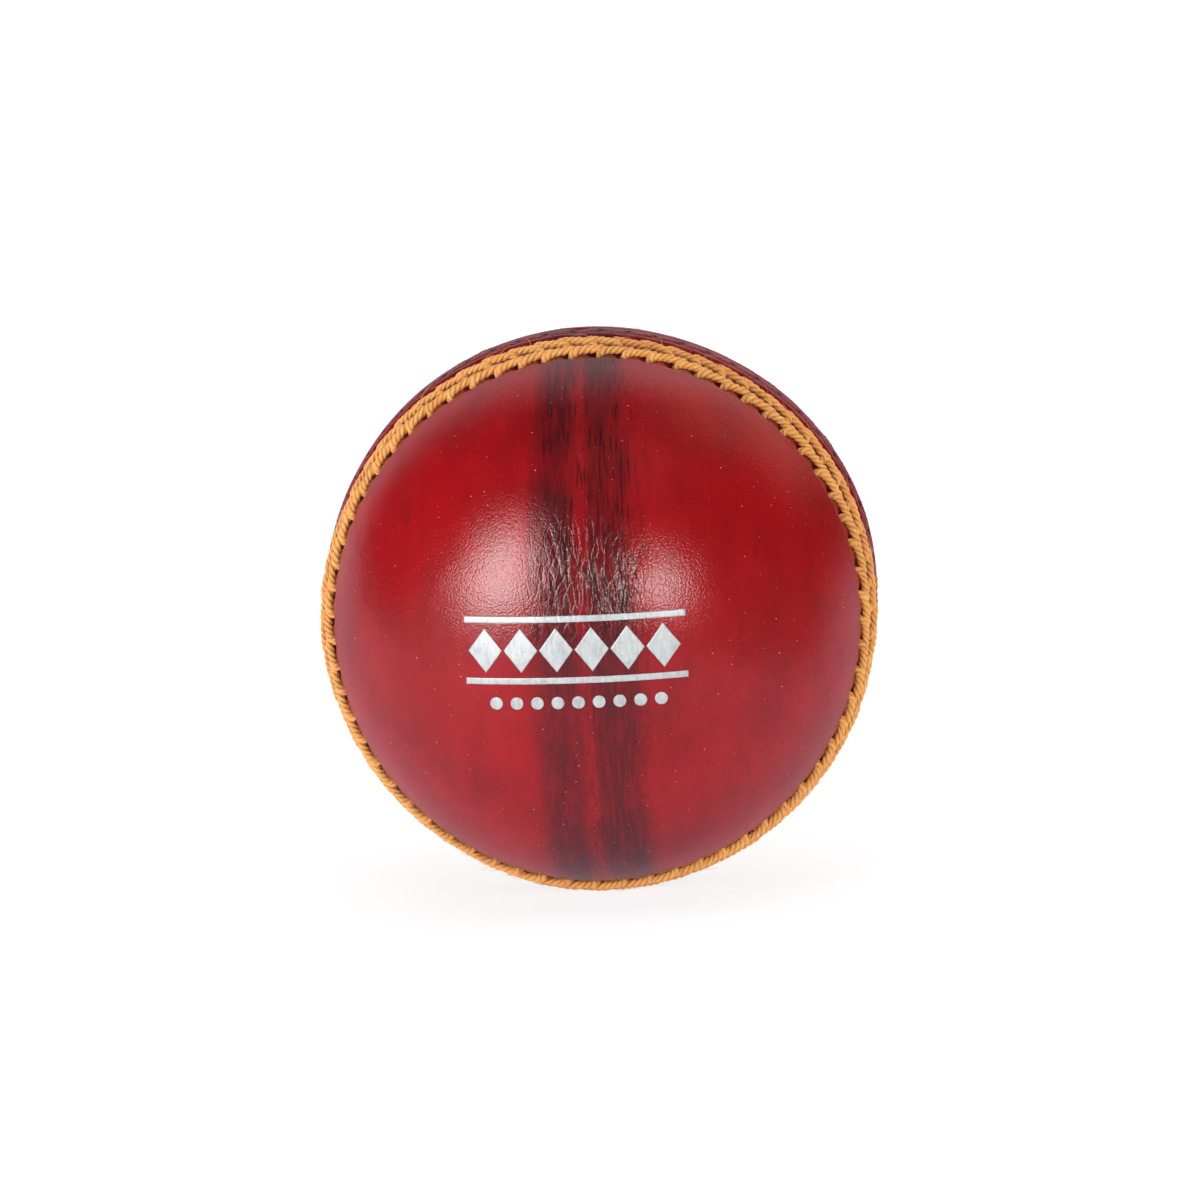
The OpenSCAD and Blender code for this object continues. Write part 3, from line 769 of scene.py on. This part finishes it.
def core_material(name, stops, scale, kind, rough, dist):
    """Cork, rubber, yarn and lining inside the ball."""
    k = Nodes(name)
    geo = k.n("ShaderNodeTexCoord").outputs["Object"]
    if kind == "grain":
        a = k.voronoi(geo, scale).outputs["Distance"]
        b = k.noise(geo, scale * 2.3, 4.0, 0.6)
        fac = k.math("ADD", k.math("MULTIPLY", a, 0.6), k.math("MULTIPLY", b, 0.5))
    elif kind == "yarn":
        wave = k.n("ShaderNodeTexWave", Vector=k.mapped(geo, (1, 0.8, 0.35)), Scale=scale, Distortion=3.0, Detail=2.0)
        wave2 = k.n("ShaderNodeTexWave", Vector=k.mapped(geo, (0.4, 1, -0.9)), Scale=scale * 0.9, Distortion=3.0, Detail=2.0)
        fac = k.math("MAXIMUM", wave.outputs["Fac"], wave2.outputs["Fac"])
    else:
        fac = k.noise(geo, scale, 6.0, 0.6)
    col = k.ramp(fac, stops)
    bump = k.n("ShaderNodeBump", Height=fac, Strength=0.6, Distance=dist)
    bsdf = k.n("ShaderNodeBsdfPrincipled", Base__Color=col, Roughness=rough, Normal=bump.outputs[0])
    return k.finish(bsdf)


leather_front = leather_material("red_leather_front", "x", "z")
leather_back = leather_material("red_leather_back", "z", "x")
tan_thread = thread_material("tan_thread", (0.25, 0.066, 0.013), (0.66, 0.262, 0.050), (0.86, 0.455, 0.108), (0.84, 0.330, 0.066),
                             fleck=(0.88, 0.62, 0.36))
dyed_thread = thread_material("dyed_thread", (0.030, 0.0020, 0.0035), (0.150, 0.0045, 0.0085), (0.26, 0.0120, 0.0200), (0.20, 0.006, 0.010),
                              rough=0.36, fleck=(0.34, 0.12, 0.12), gloss=0.5, sheen=0.1)
foil = foil_material()
nugget_m = core_material("nugget", [(0.2, (0.05, 0.022, 0.012)), (0.55, (0.17, 0.085, 0.04)), (0.8, (0.33, 0.19, 0.10))], 700.0, "grain", 0.8, 0.0002)
cork_m = core_material("cork", [(0.2, (0.16, 0.08, 0.035)), (0.5, (0.42, 0.25, 0.12)), (0.8, (0.60, 0.40, 0.22))], 620.0, "grain", 0.85, 0.0002)
yarn_m = core_material("yarn", [(0.1, (0.32, 0.29, 0.24)), (0.6, (0.62, 0.58, 0.50)), (0.95, (0.78, 0.75, 0.68))], 330.0, "yarn", 0.9, 0.0005)
lining_m = core_material("lining", [(0.3, (0.30, 0.19, 0.11)), (0.55, (0.45, 0.31, 0.19)), (0.8, (0.55, 0.40, 0.27))], 500.0, "fuzz", 0.85, 0.0001)
closing_m = core_material("closing_thread", [(0.3, (0.40, 0.33, 0.22)), (0.55, (0.58, 0.50, 0.36)), (0.8, (0.70, 0.62, 0.48))], 2500.0, "fuzz", 0.7, 0.0001)


def dress(obj, material, nodes=()):
    obj.data.materials.clear()
    obj.data.materials.append(material)
    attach(obj, "root")
    if nodes:
        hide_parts(*nodes)
    return obj


# ---------------------------------------------------------------------------
# Pieces
# ---------------------------------------------------------------------------
GRID = 216
dress(quarter_cover("leather_front_left", 1, -1, GRID), leather_front, ["front_left_quarter"])
dress(quarter_cover("leather_front_right", 1, 1, GRID), leather_front, ["front_right_quarter"])
dress(quarter_cover("leather_back_upper", -1, -1, GRID), leather_back, ["back_upper_quarter"])
dress(quarter_cover("leather_back_lower", -1, 1, GRID), leather_back, ["back_lower_quarter"])

for cup, word in ((1, "front"), (-1, "back")):
    dress(stitch_row(f"stitches_{word}_outer", cup, ROW1[0], ROW1[1], 0.0, REACH, THREAD_R, 0.36, 2.6, 100 + cup, fibres=60 if cup > 0 else 24),
          tan_thread, [f"{word}_outer_stitch_row"])
    dress(stitch_row(f"stitches_{word}_inner", cup, ROW2[0], ROW2[1], -0.5, REACH, THREAD_R, 0.32, 2.6, 110 + cup, fibres=60 if cup > 0 else 24),
          tan_thread, [f"{word}_inner_stitch_row"])
    dress(stitch_row(f"stitches_{word}_lip", cup, ROW3[0], ROW3[1], 0.0, 1.0, LIP_THREAD_R, 0.0, 2.2, 120 + cup, fibres=14, spread=0.24),
          dyed_thread, [f"{word}_lip_stitch_row"])


# ---- foil mark: plain diamonds, bars and dots pressed on the front cup --------
def on_leather(x, z, lift):
    """Points of the front cup over (x, z) in millimetres, lifted off the leather."""
    x, z = np.asarray(x, float), np.asarray(z, float)
    y = -np.sqrt(np.maximum(BALL_R ** 2 - x * x - z * z, 1))
    pos = np.stack([x, y, z], -1)
    pos /= np.linalg.norm(pos, axis=1, keepdims=True)
    psi = np.degrees(np.arcsin(-pos[:, 1]))
    t = np.degrees(np.arctan2(pos[:, 2], pos[:, 0]))
    return pos * (leather_r(psi, t, pos) + lift)[:, None]


def foil_mark():
    verts, quads = [], []
    base = 0
    g = np.random.default_rng(77)

    def patch(fn, nu, nv):
        nonlocal base
        u, v = np.meshgrid(np.linspace(0, 1, nu + 1), np.linspace(0, 1, nv + 1), indexing="ij")
        x, z = fn(u.ravel(), v.ravel())
        # ragged edge
        jag = 0.035 * noise(np.stack([x * 2.3, z * 2.3, x * 0 + 1.0], -1), 71)
        jag2 = 0.035 * noise(np.stack([x * 2.3, z * 2.3, x * 0 + 5.0], -1), 72)
        x, z = x + jag, z + jag2
        top = on_leather(x, z, 0.045)
        low = on_leather(x, z, 0.005)
        ids = np.arange((nu + 1) * (nv + 1)).reshape(nu + 1, nv + 1) + base
        lid = ids + (nu + 1) * (nv + 1)
        quads.append(np.stack([ids[:-1, :-1], ids[1:, :-1], ids[1:, 1:], ids[:-1, 1:]], -1).reshape(-1, 4))
        quads.append(np.stack([lid[:-1, :-1], lid[:-1, 1:], lid[1:, 1:], lid[1:, :-1]], -1).reshape(-1, 4))
        for a, b, la, lb in ((ids[:-1, 0], ids[1:, 0], lid[:-1, 0], lid[1:, 0]), (ids[1:, -1], ids[:-1, -1], lid[1:, -1], lid[:-1, -1]),
                             (ids[0, 1:], ids[0, :-1], lid[0, 1:], lid[0, :-1]), (ids[-1, :-1], ids[-1, 1:], lid[-1, :-1], lid[-1, 1:])):
            quads.append(np.stack([b, a, la, lb], -1))
        verts.extend([top, low])
        base += 2 * (nu + 1) * (nv + 1)

    def diamond(cx, cz, w, h):
        return lambda u, v: (cx + (u - v) * (w / 2 - 0.12), cz + (u + v - 1) * h / 2)

    def bar(x0, z0, w, h):
        return lambda u, v: (x0 + w * u, z0 + h * v)

    def disc(cx, cz, r):
        def fn(u, v):
            a, b = 2 * u - 1, 2 * v - 1
            return cx + r * a * np.sqrt(1 - b * b / 2), cz + r * b * np.sqrt(1 - a * a / 2)
        return fn

    for i in range(6):
        patch(diamond(-13.4 + i * 4.5, -0.4, 4.5, 5.6), 22, 22)
    patch(bar(-16, 3.1, 28, 0.8), 150, 5)
    patch(bar(-16, -4.7, 28, 0.8), 150, 5)
    for i in range(9):
        patch(disc(-12.3 + i * 2.6, -7.2, 0.8), 9, 9)
    return new_mesh("foil_stamp", np.concatenate(verts), np.concatenate(quads), np.zeros((0, 3)))


dress(foil_mark(), foil, ["foil_mark"])

# ---- CAD pieces inside the ball keep their shapes ------------------------------
for node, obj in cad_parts.items():
    for start, material in (("core_nugget", nugget_m), ("cork_layer", cork_m), ("yarn_winding", yarn_m), ("front_lining", lining_m),
                            ("back_lining", lining_m), ("front_closing", closing_m), ("back_closing", closing_m)):
        if node.startswith(start):
            obj.data.materials.clear()
            obj.data.materials.append(material)

# ---------------------------------------------------------------------------
# Stage, light and camera
# ---------------------------------------------------------------------------
ball_low = cad_lo[2]
floor_mesh = bpy.data.meshes.new("floor")
fy0, fy1, fx = -0.46, 2.2, 1.6
nseg = 24
fv, ff = [], []
for i in range(nseg + 1):
    for j in range(nseg + 1):
        fv.append((-fx + 2 * fx * i / nseg, fy0 + (fy1 - fy0) * j / nseg, ball_low - 0.0001))
for i in range(nseg):
    for j in range(nseg):
        a = i * (nseg + 1) + j
        ff.append((a, a + nseg + 1, a + nseg + 2, a + 1))
floor_mesh.from_pydata(fv, [], ff)
floor = bpy.data.objects.new("floor", floor_mesh)
scene.collection.objects.link(floor)
k = Nodes("floor_white")
geo = k.n("ShaderNodeTexCoord").outputs["Object"]
rays = k.n("ShaderNodeLightPath")
camera_ray, glossy_ray = rays.outputs["Is Camera Ray"], rays.outputs["Is Glossy Ray"]
sep = k.n("ShaderNodeSeparateXYZ", Vector=geo)
near = k.n("ShaderNodeCombineXYZ", X=sep.outputs[0], Y=sep.outputs[1], Z=0.0).outputs[0]
far = k.n("ShaderNodeVectorMath", _operation="LENGTH", Vector=near).outputs["Value"]
# the paper glows almost white to the camera; its glow is lower close to the ball, a faint painted shadow
seen = k.ramp(k.math("MULTIPLY", far, 2.0), [(0.05, 0.84), (0.30, 0.965), (0.60, 1.0)])
# in reflections the paper glows dimmer and slightly violet, and ends a hand's breadth to the right of the ball
behind = k.math("MULTIPLY", k.math("MAXIMUM", sep.outputs[1], 0.0), 4.0)
reach = k.math("MULTIPLY", k.ramp(k.math("SUBTRACT", k.math("MULTIPLY", sep.outputs[0], 2.0), behind), [(0.18, 1.0), (0.32, 0.05)]),
               k.ramp(k.math("SUBTRACT", k.math("MULTIPLY", sep.outputs[0], -2.0), behind), [(0.28, 1.0), (0.85, 0.45)]))
mirror_c = k.mix(reach, (0.012, 0.012, 0.012), (0.30, 0.30, 0.305))
diff_c = k.mix(camera_ray, k.mix(glossy_ray, (0.40, 0.40, 0.405), mirror_c), (0.22, 0.22, 0.222))
diff = k.n("ShaderNodeBsdfDiffuse", Color=diff_c)
strength = k.n("ShaderNodeMix", _data_type="FLOAT")
k.set(strength.inputs[0], camera_ray)
mirrored = k.math("MULTIPLY", reach, 0.33)
# to the ball the paper glows brighter on the left, where the key light is: a painted bounce light
bounce = k.ramp(k.math("MULTIPLY_ADD", sep.outputs[0], 1.2, 0.56), [(0.02, 4.0), (0.26, 3.2), (0.42, 1.6), (0.55, 0.74), (0.68, 0.80), (0.92, 1.10)])
lit = k.math("ADD", k.math("MULTIPLY", glossy_ray, mirrored), k.math("MULTIPLY", k.math("SUBTRACT", 1.0, glossy_ray), bounce))
k.set(strength.inputs[2], lit)
k.set(strength.inputs[3], seen)
glow = k.n("ShaderNodeEmission", Color=k.mix(glossy_ray, (1.0, 1.0, 1.0), (1.0, 0.87, 1.10)), Strength=strength.outputs[0])
add = k.n("ShaderNodeAddShader")
k.t.links.new(diff.outputs[0], add.inputs[0])
k.t.links.new(glow.outputs[0], add.inputs[1])
k.t.links.new(add.outputs[0], k.out.inputs[0])
floor_mesh.materials.append(k.m)

world = bpy.data.worlds.new("studio")
scene.world = world
world.use_nodes = True
wt = world.node_tree
wt.nodes.clear()


def wn(kind, **kw):
    node = wt.nodes.new(kind)
    for key, value in kw.items():
        setattr(node, key, value)
    return node


def wmath(op, a, b, clamp=False):
    node = wn("ShaderNodeMath", operation=op, use_clamp=clamp)
    for slot_, v in zip(node.inputs, (a, b)):
        if isinstance(v, bpy.types.NodeSocket):
            wt.links.new(v, slot_)
        else:
            slot_.default_value = v
    return node.outputs[0]


tc = wn("ShaderNodeTexCoord")
sp = wn("ShaderNodeSeparateXYZ")
wt.links.new(tc.outputs["Generated"], sp.inputs[0])
# white behind the ball, dark room in front of it; the white reaches furthest forward overhead
dx, dy = sp.outputs[0], sp.outputs[1]
to_left = wmath("MAXIMUM", wmath("MULTIPLY", dx, -1.0), 0.0)
to_right = wmath("MAXIMUM", dx, 0.0)
low = wmath("MINIMUM", wmath("MAXIMUM", sp.outputs[2], 0.0), 0.25)
lean = wmath("ADD", wmath("MULTIPLY", low, 1.3), 0.12)
edge = wmath("ADD", 0.33, wmath("ADD", wmath("MULTIPLY", to_left, lean), wmath("MULTIPLY", to_right, 0.85)))
past = wmath("MAXIMUM", wmath("SUBTRACT", to_left, 0.62), 0.0)
edge = wmath("ADD", edge, wmath("MULTIPLY", wmath("MULTIPLY", past, low), 2.2))
mr = wn("ShaderNodeMapRange", interpolation_type="SMOOTHSTEP")
wt.links.new(wmath("SUBTRACT", dy, edge), mr.inputs[0])
mr.inputs[1].default_value, mr.inputs[2].default_value = -0.16, 0.22
mr.inputs[3].default_value, mr.inputs[4].default_value = 0.0, 1.0
back = mr.outputs[0]
warm = wn("ShaderNodeMix", data_type="RGBA")
wt.links.new(back, warm.inputs[0])
warm.inputs[6].default_value = (0.035, 0.03, 0.03, 1)
warm.inputs[7].default_value = (0.74, 0.74, 0.80, 1)
lp = wn("ShaderNodeLightPath")
soft = wn("ShaderNodeMix", data_type="RGBA")          # light that falls on the ball without being mirrored in it
wt.links.new(back, soft.inputs[0])
soft.inputs[6].default_value = (0.22, 0.21, 0.21, 1)
soft.inputs[7].default_value = (1.5, 1.5, 1.5, 1)
mirror = wn("ShaderNodeMix", data_type="RGBA")
wt.links.new(lp.outputs["Is Glossy Ray"], mirror.inputs[0])
wt.links.new(soft.outputs[2], mirror.inputs[6])
wt.links.new(warm.outputs[2], mirror.inputs[7])
cam_mix = wn("ShaderNodeMix", data_type="RGBA")
wt.links.new(lp.outputs["Is Camera Ray"], cam_mix.inputs[0])
wt.links.new(mirror.outputs[2], cam_mix.inputs[6])
cam_mix.inputs[7].default_value = (1, 1, 1, 1)
bg = wn("ShaderNodeBackground")
wt.links.new(cam_mix.outputs[2], bg.inputs[0])
wo = wn("ShaderNodeOutputWorld")
wt.links.new(bg.outputs[0], wo.inputs[0])


def softbox(name, azimuth, elevation, distance, width, height, power, colour=(1, 1, 1), spread=180):
    """Area light seen from the ball at an azimuth (0 at -Y, positive towards +X) and an elevation."""
    az, el = math.radians(azimuth), math.radians(elevation)
    at = Vector((math.sin(az) * math.cos(el), -math.cos(az) * math.cos(el), math.sin(el))) * distance
    data = bpy.data.lights.new(name, "AREA")
    data.shape = "RECTANGLE"
    data.size, data.size_y = width, height
    data.energy = power
    data.color = colour
    data.spread = math.radians(spread)
    obj = bpy.data.objects.new(name, data)
    obj.location = at
    obj.rotation_euler = (-at).to_track_quat("-Z", "Y").to_euler()
    scene.collection.objects.link(obj)
    return obj


# radiance of a one-sided area light is power / (pi * area)
def power_for(radiance, width, height):
    return radiance * math.pi * width * height


for name, az, el, w, h_, power in (("key_left", -39.5, 19.0, 0.285, 0.40, 13.5), ("key_wing", -54.5, 12.5, 0.135, 0.20, 6.0),
                                   ("key_cap", -38.0, 37.0, 0.15, 0.10, 6.0)):
    softbox(name, az, el, 0.80, w, h_, power_for(power, w, h_), (1.0, 0.985, 0.97)).visible_diffuse = False
softbox("fill_right", 27, 14.5, 0.80, 0.17, 0.19, power_for(23.0, 0.17, 0.19), (1.0, 0.99, 0.98))
softbox("panel_left", -70, 9.5, 0.90, 0.38, 0.24, power_for(0.31, 0.38, 0.24), (1.0, 0.93, 1.06))
softbox("warm_right", 135, 42, 0.90, 0.62, 0.70, power_for(0.62, 0.62, 0.70), (1.0, 0.60, 0.50))
# light that shapes the ball without being mirrored in it
for name, az, el, w, h_, power in (("soft_key", -53, 0, 0.30, 0.42, 10.6), ("soft_right", 62, 4, 0.8, 0.6, 0.80), ("soft_top", 12, 74, 0.9, 0.6, 2.0)):
    softbox(name, az, el, 0.95 if name != "soft_key" else 0.80, w, h_, power_for(power, w, h_)).visible_glossy = False

# ---- camera: the ball turned as photographed ------------------------------------
PX_PER_MM = 7.75
pole = Vector((-0.034, -0.1375, 0)).to_3d()
pole.z = math.sqrt(1 - pole.x ** 2 - pole.y ** 2)
roll = math.radians(-2.7)
ux, uy = math.sin(roll), math.cos(roll)
s_over_c = -(ux * pole.x + uy * pole.y) / pole.z
c = 1 / math.sqrt(1 + s_over_c ** 2)
up = Vector((ux * c, uy * c, s_over_c * c))
yb = -pole
xb = yb.cross(up)
# columns: ball axes in camera coordinates; its transpose turns camera axes into the ball's frame
ball_in_cam = Matrix((xb, yb, up)).transposed()
cam_in_ball = ball_in_cam.transposed()
D = 1.25
cam_data = bpy.data.cameras.new("camera")
cam = bpy.data.objects.new("camera", cam_data)
scene.collection.objects.link(cam)
frame_mm = 1200 / PX_PER_MM
cam_data.sensor_width = 36
cam_data.sensor_fit = "HORIZONTAL"
cam_data.lens = 36 / (frame_mm * MM / D)
cam_data.clip_start, cam_data.clip_end = 0.01, 50
offset = Vector((-0.3 / PX_PER_MM * MM, 7.1 / PX_PER_MM * MM, D))     # the ball sits a little low in the frame
cam.matrix_world = Matrix.Translation(cam_in_ball @ offset) @ cam_in_ball.to_4x4()
scene.camera = cam

scene.view_settings.view_transform = "Standard"
scene.view_settings.look = "None"
